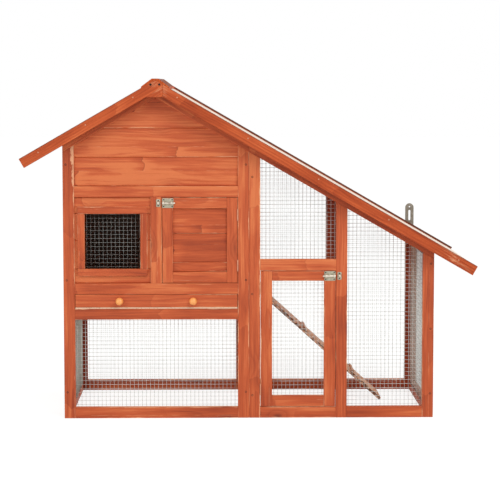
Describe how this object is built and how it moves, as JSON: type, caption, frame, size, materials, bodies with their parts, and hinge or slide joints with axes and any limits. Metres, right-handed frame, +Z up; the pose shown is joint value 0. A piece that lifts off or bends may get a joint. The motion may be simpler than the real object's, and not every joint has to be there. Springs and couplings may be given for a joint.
{
  "type": "small animal hutch",
  "caption": "Wooden small-animal hutch: gabled house with window, door and pull-out tray, beside a wire-mesh run with its own door, under one long sloping roof.",
  "frame": {"origin": "on the ground, under the middle of the whole part's bounding box", "axes": "+X to the right along the front (the long way), +Y to the back, +Z up"},
  "size_m": [1.424, 0.6524, 1.0639],
  "materials": {
    "stained_fir": "satin",
    "ramp_wood": "matte",
    "knob_wood": "satin",
    "galvanised_steel": "satin",
    "roof_felt": "matte"
  },
  "bodies": {
    "hutch": {"anchor_strap": "galvanised_steel", "bargeboard_nails": "galvanised_steel", "bolt_keepers": "galvanised_steel", "divider_boards": "stained_fir", "divider_frame": "stained_fir", "end_mesh": "galvanised_steel", "front_boards": "stained_fir", "front_bottom_rails": "stained_fir", "front_left_post": "stained_fir", "front_top_rails": "stained_fir", "hinge_fixed_leaves": "galvanised_steel", "hinge_pins": "galvanised_steel", "house_front_mesh": "galvanised_steel", "house_head_rail": "stained_fir", "house_right_post": "stained_fir", "left_end_boards": "stained_fir", "left_end_frame": "stained_fir", "left_front_bargeboard": "stained_fir", "left_roof_panel": "stained_fir", "ramp_brackets": "galvanised_steel", "ramp_rod": "galvanised_steel", "rear_bargeboards": "stained_fir", "rear_boards": "stained_fir", "rear_mesh": "galvanised_steel", "rear_posts": "stained_fir", "rear_rails": "stained_fir", "ridge_beam": "stained_fir", "ridge_cap": "stained_fir", "right_end_frame": "stained_fir", "right_front_bargeboard": "stained_fir", "right_roof_panel": "stained_fir", "roof_felt": "roof_felt", "run_front_mesh": "galvanised_steel", "run_head_rail": "stained_fir", "run_left_post": "stained_fir", "run_middle_post": "stained_fir", "run_right_post": "stained_fir", "screws": "galvanised_steel", "tray_head_rail": "stained_fir", "tray_runners": "stained_fir", "tray_sill_rail": "stained_fir", "window_frame": "stained_fir", "window_mesh": "galvanised_steel", "window_post": "stained_fir"},
    "house_door": {"house_door_frame": "stained_fir", "house_door_boards": "stained_fir", "house_door_hinges": "galvanised_steel", "house_bolt_plate": "galvanised_steel"},
    "house_bolt": {"house_bolt": "galvanised_steel"},
    "run_door": {"run_door_frame": "stained_fir", "run_door_mesh": "galvanised_steel", "run_door_hinges": "galvanised_steel", "run_bolt_plate": "galvanised_steel"},
    "run_bolt": {"run_bolt": "galvanised_steel"},
    "tray": {"tray_front": "stained_fir", "tray_box": "stained_fir", "tray_knobs": "knob_wood"},
    "ramp": {"ramp_board": "ramp_wood", "ramp_treads": "ramp_wood", "ramp_rings": "galvanised_steel"}
  },
  "joints": [
    {"name": "house_door_hinge", "type": "hinge", "parent": "hutch", "child": "house_door", "pos_m": [-0.0356, -0.27855, 0.5615], "axis": [0, 0, 1], "range_deg": [0, 95]},
    {"name": "house_bolt_slide", "type": "slide", "parent": "house_door", "child": "house_bolt", "axis": [-1, 0, 0], "range_m": [0, 0.011]},
    {"name": "run_door_hinge", "type": "hinge", "parent": "hutch", "child": "run_door", "pos_m": [0.0356, -0.27855, 0.25025], "axis": [0, 0, -1], "range_deg": [0, 95]},
    {"name": "run_bolt_slide", "type": "slide", "parent": "run_door", "child": "run_bolt", "axis": [1, 0, 0], "range_m": [0, 0.011]},
    {"name": "tray_slide", "type": "slide", "parent": "hutch", "child": "tray", "axis": [0, -1, 0], "range_m": [0, 0.4]},
    {"name": "ramp_hinge", "type": "hinge", "parent": "hutch", "child": "ramp", "pos_m": [0.029, 0.11375, 0.3755], "axis": [0, -1, 0], "range_deg": [0, 22]}
  ]
}
